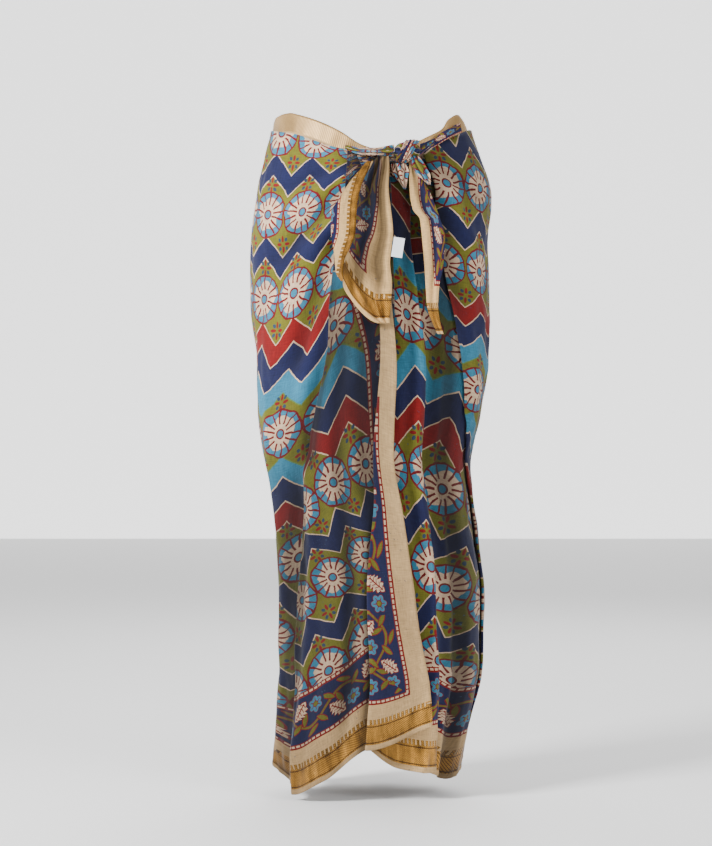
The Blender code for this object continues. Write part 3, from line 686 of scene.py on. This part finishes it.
class Inks:
    """Helpers that put colours over each other in one material."""

    def __init__(self, tree, **changed):
        self.tree = tree
        self.inks = {**INKS, **changed}

    def colour(self, name):
        return (*self.inks[name], 1) if isinstance(name, str) else (*name, 1)

    def over(self, below, above, mask):
        """above where mask is 1, below elsewhere."""
        node = self.tree.nodes.new("ShaderNodeMix")
        node.data_type = "RGBA"
        self.tree.links.new(mask.value, node.inputs["Factor"])
        for socket, item in ((node.inputs[6], below), (node.inputs[7], above)):
            if isinstance(item, (str, tuple)):
                socket.default_value = self.colour(item)
            else:
                self.tree.links.new(item, socket)
        return node.outputs[2]

    def multiply(self, colour, factor):
        """A colour times a number."""
        node = self.tree.nodes.new("ShaderNodeVectorMath")
        node.operation = "SCALE"
        self.tree.links.new(colour, node.inputs[0])
        self.tree.links.new(factor.value, node.inputs["Scale"])
        return node.outputs[0]


def noise(tree, vector, scale, detail, stretch=(1, 1, 1)):
    """Noise from 0 to 1 over a place."""
    mapping = tree.nodes.new("ShaderNodeMapping")
    mapping.inputs["Scale"].default_value = stretch
    tree.links.new(vector, mapping.inputs["Vector"])
    node = tree.nodes.new("ShaderNodeTexNoise")
    node.inputs["Scale"].default_value = scale
    node.inputs["Detail"].default_value = detail
    tree.links.new(mapping.outputs[0], node.inputs["Vector"])
    return Term(tree, node.outputs[0])


def wheels(inks, u, w, v, wobble, below):
    """Rows of spoked wheels and dotted flowers over the bands."""
    tree = inks.tree
    number = (u - PHASE) / PERIOD
    peak = (number + 0.5).fract() - 0.5
    trough = number.fract() - 0.5
    shifted = (number + (0.5 - WHEEL_SHIFT_ROW[2])).fract() - 0.5
    in_row = (w > WHEEL_SHIFT_ROW[0]) & (w < WHEEL_SHIFT_ROW[1])
    across = (peak + (shifted - peak) * in_row) * PERIOD
    middle = Term(tree, WHEEL_ROWS[0][0])
    for (here, ends), (after, _) in zip(WHEEL_ROWS[:-1], WHEEL_ROWS[1:]):
        middle = (w > ends) * (after - here) + middle
    down = v - middle

    upper = down < 0
    fx = (trough + (peak - trough) * upper) * PERIOD
    fy = down + upper * (FLOWER_ABOVE + FLOWER_BELOW) - FLOWER_BELOW
    reach = (fx * fx + fy * fy).sqrt() + wobble * 0.0006
    angle = fy.angle_to(fx) * (4 / math.tau)
    straight = ((angle + 0.5).fract() - 0.5).abs() * (math.tau / 4) * reach / 0.0021
    diagonal = (angle.fract() - 0.5).abs() * (math.tau / 4) * reach / 0.0023
    along_red = (reach - 0.0074) / 0.0046
    along_dot = (reach - 0.0086) / 0.0030
    stroke = (straight * straight + along_red * along_red) < 1
    dot = (diagonal * diagonal + along_dot * along_dot) < 1
    colour = inks.over(below, "red", stroke)
    colour = inks.over(colour, "slate", dot)

    radius = (across * across + down * down).sqrt() * (wobble * 0.10 + 1)
    turn = down.angle_to(across) * (WHEEL_SPOKES / math.tau)
    jag = (turn + wobble * 2.0).sin() * 0.0022 + (turn * 2.3).sin() * 0.0016
    jag = jag + (turn * 0.43).sin() * 0.0012
    inside = radius < WHEEL_RADIUS
    colour = inks.over(colour, "turquoise", inside)
    colour = inks.over(colour, "pale", (radius + jag) < WHEEL_PALE)
    spoke_side = ((turn + wobble * 0.35).fract() - 0.5).abs() * (math.tau / WHEEL_SPOKES) * radius
    starts = (turn.floor() * 12.99).sin().abs() * 0.005 + 0.0085
    spoke = (spoke_side < SPOKE_HALF) & (radius > starts) & (radius < WHEEL_RADIUS)
    colour = inks.over(colour, "dark_red", spoke)
    colour = inks.over(colour, "dark_red", radius < WHEEL_HUB)
    colour = inks.over(colour, "turquoise", radius < WHEEL_EYE)
    rim = (radius > (WHEEL_RADIUS - WHEEL_RIM)) & inside
    return inks.over(colour, "dark_red", rim)


def leaf(inks, colour, x, y, length, width, turn, fill, toothed):
    """A pointed leaf with a red outline at the origin of x and y, turned by an angle."""
    c, s = math.cos(turn), math.sin(turn)
    lx = (x * c + y * s) / length
    ly = (y * c - x * s).abs()
    body = (lx * lx).rest() * width
    if toothed:
        body = body * ((lx * 2.9 + ly * 55).fract() * 0.60 + 0.55)
    inside = (ly < body) & (lx.abs() < 1)
    outline = (ly < (body + 0.0014)) & (lx.abs() < 1.08)
    colour = inks.over(colour, "red", outline)
    colour = inks.over(colour, fill, inside)
    if toothed:
        veins = ((lx * 2.9 + ly * 150).fract() < 0.24) & (ly < body * 0.62)
        vein = (veins | (ly < 0.0008)) & (lx.abs() < 0.80)
        colour = inks.over(colour, "red", vein)
    return colour


def vine(inks, colour, t, y, wobble):
    """A winding stem with leaves and flowers, along t and across y, both in metres."""
    half_wave = VINE_WAVE / 2
    number = t / half_wave
    side = (number.floor() * 0.5).fract() * -4 + 1
    x = (number.fract() - 0.5) * half_wave
    y = y + wobble * 0.0008
    stem = (y - (t * (math.tau / VINE_WAVE)).sin() * STEM_SWING).abs()
    y = y * side
    colour = inks.over(colour, "red", stem < STEM_OUTLINE)
    colour = inks.over(colour, "olive", stem < STEM_HALF)
    for at_x, at_y, *form in VINE_LEAVES:
        colour = leaf(inks, colour, x - at_x, y - at_y, *form)
    fx, fy = x - VINE_FLOWER[0], y - VINE_FLOWER[1]
    reach = (fx * fx + fy * fy).sqrt()
    angle = fy.angle_to(fx)
    petals = (angle * 3.0).sin().abs() * BLOOM_SWELL + BLOOM_PETALS
    petal_side = (((angle * (6 / math.tau)).fract() - 0.5).abs() * reach) < 0.0006
    colour = inks.over(colour, "dark_red", reach < (petals + BLOOM_OUTLINE))
    colour = inks.over(colour, "turquoise", reach < petals)
    colour = inks.over(colour, "dark_red", petal_side & (reach < 0.0085))
    colour = inks.over(colour, "dark_red", reach < BLOOM_HUB)
    return inks.over(colour, "olive", reach < BLOOM_EYE)


def print_colour(tree, u, v, uv_vector, **changed):
    """The whole print at a place on the flat cloth, with masks of the metal thread and its twill."""
    inks = Inks(tree, **changed)
    wobble = noise(tree, uv_vector, 70.0, 2.0) * 2 - 1
    peak = ((u - PHASE) / PERIOD + 0.5).fract() - 0.5
    w_plain = v - peak.abs() * (2 * ZIGZAG)
    w = w_plain + wobble * 0.0018
    colour = "olive"
    pale_line = green_line = None
    for (end, name), (_, after) in zip(BANDS[:-1], BANDS[1:]):
        colour = inks.over(colour, after, w > end)
        line = (w - end).abs() < LINE_WIDTH / 2
        if {name, after} == {"turquoise", "olive"}:
            green_line = line if green_line is None else green_line | line
        else:
            pale_line = line if pale_line is None else pale_line | line
    colour = inks.over(colour, "pale", pale_line)
    colour = inks.over(colour, "leaf_green", green_line)
    colour = wheels(inks, u, w_plain, v, wobble, colour)

    # The border on all four sides, and the metal-thread band along both long edges.
    from_edge = v.low(v.rest() + (CLOTH_WIDTH - 1))
    from_end = u.low(u.rest() + (CLOTH_LENGTH - 1)) + CUT_END_MARGIN
    b = from_edge.low(from_end) + wobble * 0.0004
    on_side = from_end < from_edge
    t = u + (v - u) * on_side
    border = "cream"
    for start, ink in BORDER_LINES:
        border = inks.over(border, ink, b > start)
    bead_row, other_row = ((b - row).abs() < BEAD_HALF for row in BEAD_ROWS)
    border = inks.over(border, "red", (bead_row | other_row) & ((t / BEAD_STEP).fract() < 0.30))
    vines = vine(inks, border, t, b - VINE_MIDDLE, wobble)
    border = inks.over(border, vines, (b > VINE_FROM) & (b < VINE_TO))
    colour = inks.over(colour, border, b < BORDER)
    twill = (from_edge * 330 + t * 380).fract()
    gold = inks.over("gold", "gold_dark", twill < 0.32)
    in_gold = (from_edge > GOLD_FROM) & (from_edge < GOLD_TO)
    rib, other_rib = ((from_edge - row).abs() < RIB_HALF for row in GOLD_RIBS)
    gold = inks.over(gold, "gold_dark", rib | other_rib)
    # Painted sheen: the metal thread's colour is streaked lighter and darker, as if it caught the light
    # unevenly.
    painted_sheen = noise(tree, uv_vector, 1.0, 3.0, (85, 22, 1)) * 2.6 - 0.35
    gold = inks.multiply(gold, painted_sheen.high(0.35))
    tooth = ((t / TOOTH_STEP).fract() - 0.5).abs() * 2
    teeth = (from_edge > TEETH_FROM) & (from_edge < TEETH_TO) & (tooth < 0.62)
    gold = inks.over(gold, "gold_dark", teeth & (tooth > 0.40))
    metal = in_gold | teeth
    colour = inks.over(colour, gold, metal)
    return inks, colour, metal, twill


def new_material(name):
    """A new material, its node tree and its shader."""
    made = bpy.data.materials.new(name)
    made.use_nodes = True
    return made, made.node_tree, made.node_tree.nodes["Principled BSDF"]


def cloth_place(tree):
    """The place on the flat cloth: both measures as one vector, metres along it and metres down it."""
    uv_node = tree.nodes.new("ShaderNodeUVMap")
    uv_node.uv_map = "ClothUV"
    split = tree.nodes.new("ShaderNodeSeparateXYZ")
    tree.links.new(uv_node.outputs[0], split.inputs[0])
    return uv_node.outputs[0], Term(tree, split.outputs[0]), Term(tree, split.outputs[1])


def add_bump(tree, shader, height, strength, distance):
    bump = tree.nodes.new("ShaderNodeBump")
    bump.inputs["Strength"].default_value = strength
    bump.inputs["Distance"].default_value = distance
    tree.links.new(height.value, bump.inputs["Height"])
    tree.links.new(bump.outputs[0], shader.inputs["Normal"])


def cloth_material(name, tint=1.0, **changed):
    """Thin printed cotton."""
    made, tree, shader = new_material(name)
    place, u, v = cloth_place(tree)
    inks, colour, metal, twill = print_colour(tree, u, v, place, **changed)

    # Uneven ink, thicker threads both ways and dark specks where the blue is thin.
    warp = noise(tree, place, 1.0, 2.0, (700, 70, 1))
    weft = noise(tree, place, 1.0, 2.0, (70, 700, 1))
    patches = noise(tree, place, 14.0, 3.0)
    shade = (warp * 0.75 + weft * 0.75 + patches * 0.60 - 0.05) * tint
    # Painted shade on the thin cloth: darker deep in a fold, under the knot and over other layers,
    # lighter on ridges and the hips.
    depth = tree.nodes.new("ShaderNodeAttribute")
    depth.attribute_name = "painted_shade"
    painted_shade_factor = (Term(tree, depth.outputs["Fac"]) * -0.60 + 1).high(0.22)
    colour = inks.multiply(colour, shade * painted_shade_factor)
    specks = (noise(tree, place, 260.0, 2.0) > 0.66) & (noise(tree, place, 22.0, 1.0) > 0.60)
    colour = inks.over(colour, "slate", specks & metal.rest() * 0.55)
    tree.links.new(colour, shader.inputs["Base Color"])
    tree.links.new((metal * -0.50 + 0.86).value, shader.inputs["Roughness"])
    tree.links.new((metal * 0.55).value, shader.inputs["Metallic"])
    shader.inputs["Sheen Weight"].default_value = 0.10
    shader.inputs["Sheen Roughness"].default_value = 0.5
    shader.inputs["Specular IOR Level"].default_value = 0.25
    add_bump(tree, shader, (warp + weft) * 0.5 + metal * twill * 0.8 + patches * 0.5, 0.35, 0.0006)

    through = tree.nodes.new("ShaderNodeBsdfTranslucent")
    tree.links.new(colour, through.inputs["Color"])
    mixed = tree.nodes.new("ShaderNodeMixShader")
    mixed.inputs["Fac"].default_value = 0.10
    tree.links.new(shader.outputs[0], mixed.inputs[1])
    tree.links.new(through.outputs[0], mixed.inputs[2])
    tree.links.new(mixed.outputs[0], tree.nodes["Material Output"].inputs["Surface"])
    return made


def matt_material(name, shade):
    """An even grey, with its shader."""
    made, _, shader = new_material(name)
    shader.inputs["Base Color"].default_value = (shade, shade, shade, 1)
    shader.inputs["Roughness"].default_value = 0.9
    return made, shader


def label_material():
    """Woven satin with a faint weave."""
    made, tree, shader = new_material("label_satin")
    shader.inputs["Roughness"].default_value = 0.45
    place = tree.nodes.new("ShaderNodeTexCoord")
    grain = noise(tree, place.outputs["Object"], 900.0, 2.0, (1, 1, 4))
    tone = Inks(tree).over((0.70, 0.72, 0.77), (0.86, 0.88, 0.91), grain)
    tree.links.new(tone, shader.inputs["Base Color"])
    add_bump(tree, shader, grain, 0.3, 0.0003)
    return made


def gold_material():
    """The turned-in metal-thread border, seen on its duller inner side, with its cream edge."""
    made, tree, shader = new_material("gold_border")
    place, u, v = cloth_place(tree)
    inks = Inks(tree)
    twill = (u * 360 + v * 60).fract()
    patches = noise(tree, place, 18.0, 3.0)
    colour = inks.over((0.50, 0.31, 0.115), (0.25, 0.14, 0.048), twill < 0.42)
    cream = (v < 0.008) | ((v > 0.036) & (v < 0.063))
    metal = cream.rest()
    colour = inks.over(colour, "cream", cream)
    colour = inks.multiply(colour, patches * 1.1 + 0.45)
    tree.links.new(colour, shader.inputs["Base Color"])
    tree.links.new((metal * 0.45).value, shader.inputs["Metallic"])
    tree.links.new((metal * -0.34 + 0.80).value, shader.inputs["Roughness"])
    add_bump(tree, shader, twill * metal, 0.4, 0.0005)
    return made


cotton = cloth_material("printed_cotton")
cream_cotton = cloth_material(
    "cream_cotton", 1.05, cream=(0.60, 0.375, 0.155), gold=(0.46, 0.21, 0.028)
)
gold_border = gold_material()
label_satin = label_material()


# Pieces

for name, first, last, per_stretch, nodes in (
    ("wrap_over_cloth", "left_seam", "outer_edge", 20, ["wrap_over"]),
    ("wrap_back_cloth", "right_seam", "left_seam", 40, ["wrap_back_right", "wrap_back_left"]),
    ("wrap_under_cloth", "inner_end", "right_seam", 20, ["wrap_under"]),
):
    piece, length = wrap_piece(name, first, last, per_stretch, cotton, nodes)


def strip(node, points, flat, material, thickness):
    """A folded strip of the cloth on rows of points."""
    points, flat = np.array(points), np.array(flat)
    obj = shell(f"{node}_cloth", points, flat, material, thickness)
    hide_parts(node)


def turned_border(node, edge):
    """The border turned in at the waist, standing above the fold on the hip."""
    bearings = column(edge, 0)
    steps, rows = 110, 26
    bearing = np.linspace(bearings[0], bearings[-1], steps + 1)
    top = smooth(bearings, column(edge, 1), bearing)
    low = np.minimum(top, -0.030) - TURNED_DEPTH
    stand = smooth(bearings, column(edge, 2), bearing)
    points, flat, thick = [], [], []
    for share in np.linspace(0, 1, rows):
        z = low + (top - low) * share
        points.append(on_body(bearing, z, stand))
        thick.append(rolled_edge(top - z, 0.004, 0.0013))
        flat.append(np.stack([bearing * TURNED_STRETCH, top - z + TURNED_HEM], -1))
    strip(node, points, flat, gold_border, thick)


turned_border("turned_border_left", TURNED_LEFT)
turned_border("turned_border_right", TURNED_RIGHT)


def hip_band():
    """The printed border folded over the right hip."""
    bearings = column(HIP_BAND, 0)
    bearing = np.linspace(bearings[0], bearings[-1], 61)
    low = smooth(bearings, column(HIP_BAND, 1), bearing)
    top = smooth(bearings, column(HIP_BAND, 2), bearing)
    points, flat = [], []
    for share in np.linspace(0, 1, 17):
        puff = 0.0006 * math.sin(math.pi * share)
        points.append(on_body(bearing, low + (top - low) * share, HIP_BAND_STAND_OFF + puff))
        along = bearing * HIP_BAND_STRETCH + HIP_BAND_START
        flat.append(np.stack([along, BORDER - HIP_BAND_DEPTH * share + 0 * bearing], -1))
    strip("hip_band", points, flat, cotton, 0.0009)


hip_band()


def rope(name, rings, flat, node, painted_shade):
    """Gathered cloth as a closed solid through rings of points, whose last point repeats the first."""
    rows, count = rings.shape[0], rings.shape[1] - 1
    index = np.arange(rows * count).reshape(rows, count)
    after = np.roll(index, -1, axis=1)
    sides = np.stack([index[:-1], after[:-1], after[1:], index[1:]], -1).reshape(-1, 4)
    corners = (flat[:-1, :-1], flat[:-1, 1:], flat[1:, 1:], flat[1:, :-1])
    sides_uv = np.stack(corners, -2).reshape(-1, 2)
    faces = sides.tolist() + [index[0][::-1].tolist(), index[-1].tolist()]
    uv = np.concatenate([sides_uv, flat[0, :-1][::-1], flat[-1, :-1]])
    mesh = bpy.data.meshes.new(name)
    mesh.from_pydata(rings[:, :-1].reshape(-1, 3).tolist(), [], faces)
    layer = mesh.uv_layers.new(name="ClothUV")
    layer.data.foreach_set("uv", uv.ravel().astype(np.float32))
    work = bmesh.new()
    work.from_mesh(mesh)
    bmesh.ops.recalc_face_normals(work, faces=work.faces)
    work.to_mesh(mesh)
    work.free()
    obj = placed(name, mesh, cotton, painted_shade[:, :-1])
    if node:
        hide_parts(node)


def gathers(turn, along, depth, count, twist):
    """How much a gathered rope swells: lengthwise pleats that wander and twist."""
    a = np.sin(count * turn + twist * along + 1.3 * np.sin(5 * along))
    b = np.sin((count + 4) * turn - 1.7 * twist * along + 0.9)
    return 1 + depth * (0.65 * a + 0.35 * b)


def roll(name, rows, node, start_v, length_u, span_v, start_u, hanging=False):
    """A gathered roll of cloth along a table of middles and half sizes."""
    steps, around = 56, 96
    share = [i / (len(rows) - 1) for i in range(len(rows))]
    along = np.linspace(0, 1, steps + 1)
    curves = (smooth(share, column(rows, k), along)[:, None] for k in range(5))
    x, y, z, half_height, half_depth = curves
    turn = np.linspace(0, math.tau, around + 1)[None, :]
    swell = gathers(turn, along[:, None], 0.24, 6, 1.6)
    depth = half_depth * np.cos(turn) * swell
    reach = half_height * np.sin(turn) * swell
    nothing = np.zeros_like(depth)
    offset = np.stack([reach, depth, nothing] if hanging else [nothing, depth, reach], -1)
    points = np.stack([x + nothing, y + nothing, z + nothing], -1) + offset
    u = start_u + along[:, None] * length_u + nothing
    v = start_v + span_v * np.abs(turn / math.pi - 1) + nothing
    # Painted shade: darker where the gathers sink in, lighter where they swell.
    rope(name, points, np.stack([u, v], -1), node, 0.25 + (1 - swell) * 5.0)


roll("roll_left_cloth", ROLL_LEFT, "roll_left", 0.235, 0.085, 0.075, 1.560)
roll("roll_right_cloth", ROLL_RIGHT, "roll_right", 0.112, 0.045, 0.050, 0.300)
roll("knot_lobe_cloth", KNOT_LOBE, "knot_lobe", 0.245, 0.050, 0.060, 0.190, hanging=True)
roll("knot_pleat_cloth", KNOT_PLEAT, None, 0.355, 0.050, 0.052, 0.560, hanging=True)


def knot_core():
    """The gathered middle of the knot."""
    around, steps = 110, 48
    polar = np.linspace(math.pi / 9, math.pi * 8 / 9, steps + 1)[:, None]
    turn = np.linspace(0, math.tau, around + 1)[None, :]
    swell = gathers(turn, polar, 0.15, 6, 1.1)
    nothing = np.zeros_like(swell)
    x = KNOT_CENTRE.x - KNOT_HALF[0] * np.cos(polar) + nothing
    y = KNOT_CENTRE.y + KNOT_HALF[1] * np.sin(polar) * np.cos(turn) * swell
    z = KNOT_CENTRE.z + KNOT_HALF[2] * np.sin(polar) * np.sin(turn) * swell
    u = 1.2 + (x - KNOT_CENTRE.x) * 1.6
    v = 0.215 + 0.075 * np.abs(turn / math.pi - 1) + nothing
    points, flat = np.stack([x, y, z], -1), np.stack([u, v], -1)
    # Painted shade: darker where the gathers sink in, lighter where they swell.
    rope("knot_core_cloth", points, flat, "knot_core", 0.25 + (1 - swell) * 7.0)


def knot_band():
    """The strand that passes over the knot."""
    points, flat = [], []
    for place in np.linspace(-0.5, 0.5, 33):
        reach = 0.0010 + 0.0012 * math.cos(math.pi * place)
        turn = np.radians(np.linspace(-150, 150, 91))
        pleat = 0.0006 * math.sin(place * 26) + 0.0003 * np.sin(place * 47 + turn * 2)
        out = -(KNOT_HALF[1] + reach + pleat) * np.cos(turn) * 1.04
        up = (KNOT_HALF[2] + reach + pleat) * np.sin(turn) * 1.06
        x = place * KNOT_BAND_WIDTH + KNOT_BAND_LEAN * up
        points.append(np.stack([x, out, up], -1) + np.array(KNOT_CENTRE))
        flat.append(np.stack([0.5 + turn * 0.020, 0.108 + (place + 0.5) * 0.052 + 0 * turn], -1))
    strip("knot_band", points, flat, cotton, 0.0010)


knot_core()
knot_band()


TAIL_RIDGE = 0.0020  # how far out a tail's fold gets its strongest painted light


def tail(node, rows, flat_of, fine, layer_shade, across=56, down=110):
    """A free corner of the cloth, hanging in soft upright folds."""
    heights = column(rows, 0)
    folds = TAIL_FOLDS[node]
    z = np.linspace(heights[-1], heights[0], down + 1)[:, None]
    left, right, y = (smooth(heights, column(rows, k), z) for k in (1, 2, 3))
    share = np.linspace(0, 1, across + 1)[None, :]
    depth = np.minimum(1.0, (right - left) / 0.030) / 1000
    out = smooth(column(folds, 0), column(folds, 1), share) * depth
    wrinkles = np.sin(share * 19 + z * 31 + 1.2 * np.sin(z * 47)) * np.sin(share * math.pi)
    out = out + fine * depth * wrinkles
    x = left + (right - left) * share
    points = np.stack([x, y - out, z + 0 * x], -1)
    u, v, edge = flat_of(x, z + 0 * x, left, right)
    # Painted shade under the knot and where the tail hangs over other layers, painted light on its ridges
    # and free edges.
    under_knot = ramp((z + 0.135) / 0.065)
    painted_shade = np.clip(-out / TAIL_RIDGE - 0.15, -0.30, 1.0) * 0.55 + 0.75 * under_knot
    behind = np.clip((z + 0.262) / 0.04, 0.15, 1) * np.clip((0.93 - share) / 0.09, 0.15, 1)
    painted_shade = np.clip(painted_shade + layer_shade * behind, -0.5, SHADE_MOST)
    thickness = rolled_edge(edge, 0.006, 0.0015)
    flat = np.stack([u, v], -1)
    obj = shell(f"{node}_cloth", points, flat, cream_cotton, thickness, painted_shade)
    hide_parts(node)


def bottom_of(rows, x):
    """The height of a tail's lower edge at each x."""
    low = sorted((row[1], row[0]) for row in rows if row[0] <= -0.2399) + [(0.040, rows[-1][0])]
    return smooth(column(low, 0), column(low, 1), x)


def flat_left(x, z, left, right):
    """The left tail is the outer end's upper corner: its cut end on the right, its border below."""
    gathered = smooth((-0.23, -0.187, -0.150, -0.116, -0.060), (0.85, 0.95, 1.35, 1.95, 2.8), z)
    e = (right - x) * gathered
    f = np.maximum(z - bottom_of(TAIL_LEFT, x), 0.0)
    return CLOTH_LENGTH - e, np.minimum(f, 0.20), np.minimum(e, f)


def flat_flap(x, z, left, right):
    """The flap is the same corner's border, folded over: its edge on the right."""
    f = (right - x) * 1.95 + 0.003
    return z + 1.94, f, f


def flat_right(x, z, left, right):
    """The right tail is the inner end's upper corner: its cut end on the left, its border below."""
    e = (x - left) * 2.4
    f = (z - TAIL_RIGHT[-1][0]) * 0.85 + 0.004
    return e, f, e


tail("tail_left", TAIL_LEFT, flat_left, 0.5, 1.25)
tail("tail_left_flap", TAIL_FLAP, flat_flap, 0.3, 0.15)
tail("tail_right", TAIL_RIGHT, flat_right, 0.5, 0.15, across=48)


def label():
    """The blank woven label, curled a little."""
    width, height = LABEL_SIZE
    tilt = math.radians(LABEL_TILT)
    a = np.linspace(-0.5, 0.5, 25)[None, :]
    b = np.linspace(-0.5, 0.5, 41)[:, None]
    x = a * width + 0 * b
    z = b * height + 0 * a
    y = 0.0004 * np.cos(a * 2.2) - 0.0005 * b * b + 0 * x
    c, s = math.cos(tilt), math.sin(tilt)
    points = np.stack([x * c + z * s, y, z * c - x * s], -1) + np.array(LABEL_CENTRE)
    flat = np.stack([x + 0.5, z + 0.5], -1)
    obj = shell("label_cloth", points, flat, label_satin, 0.0006)
    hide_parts("label")


label()


# Floor, light and camera

LAMPS = (
    ("key", (-2.1, -1.7, 1.2), 175, 0.7),
    ("fill", (1.9, -1.9, 0.5), 40, 1.0),
    ("back", (0.4, 2.2, 1.2), 40, 1.6),
)
LAMPS_AIM = Vector((0, 0, -0.45))
FLOOR_HEIGHT = -0.992
WORLD_LIGHT = 0.42
BACKDROP_LIGHT = 1.5


def plane(name, size, place, tilt, material):
    bpy.ops.mesh.primitive_plane_add(size=size, location=place, rotation=(tilt, 0, 0))
    obj = bpy.context.object
    obj.name = name
    obj.data.materials.append(material)


def stage():
    pale, _ = matt_material("floor_pale", 0.86)
    plane("floor", 14, (0, 2.0, FLOOR_HEIGHT), 0, pale)
    glow, shader = matt_material("backdrop_pale", 0.9)
    shader.inputs["Emission Color"].default_value = (1, 1, 1, 1)
    shader.inputs["Emission Strength"].default_value = BACKDROP_LIGHT
    plane("backdrop", 24, (0, 7.0, 4.0), math.pi / 2, glow)
    world = bpy.data.worlds.new("studio")
    world.use_nodes = True
    background = world.node_tree.nodes["Background"]
    background.inputs[0].default_value = (1.0, 1.0, 1.0, 1)
    background.inputs[1].default_value = WORLD_LIGHT
    bpy.context.scene.world = world
    for name, place, power, size in LAMPS:
        lamp = bpy.data.lights.new(name, "AREA")
        lamp.energy = power
        lamp.size = size
        obj = bpy.data.objects.new(name, lamp)
        obj.location = place
        obj.rotation_euler = (LAMPS_AIM - Vector(place)).to_track_quat("-Z", "Y").to_euler()
        bpy.context.scene.collection.objects.link(obj)


def camera():
    cam = bpy.data.cameras.new("camera")
    cam.lens = 90.8
    cam.sensor_width = 36
    obj = bpy.data.objects.new("camera", cam)
    obj.location = (-0.0195, -3.2, -0.4395)
    obj.rotation_euler = (math.radians(90), 0, 0)
    bpy.context.scene.collection.objects.link(obj)
    bpy.context.scene.camera = obj


stage()
camera()
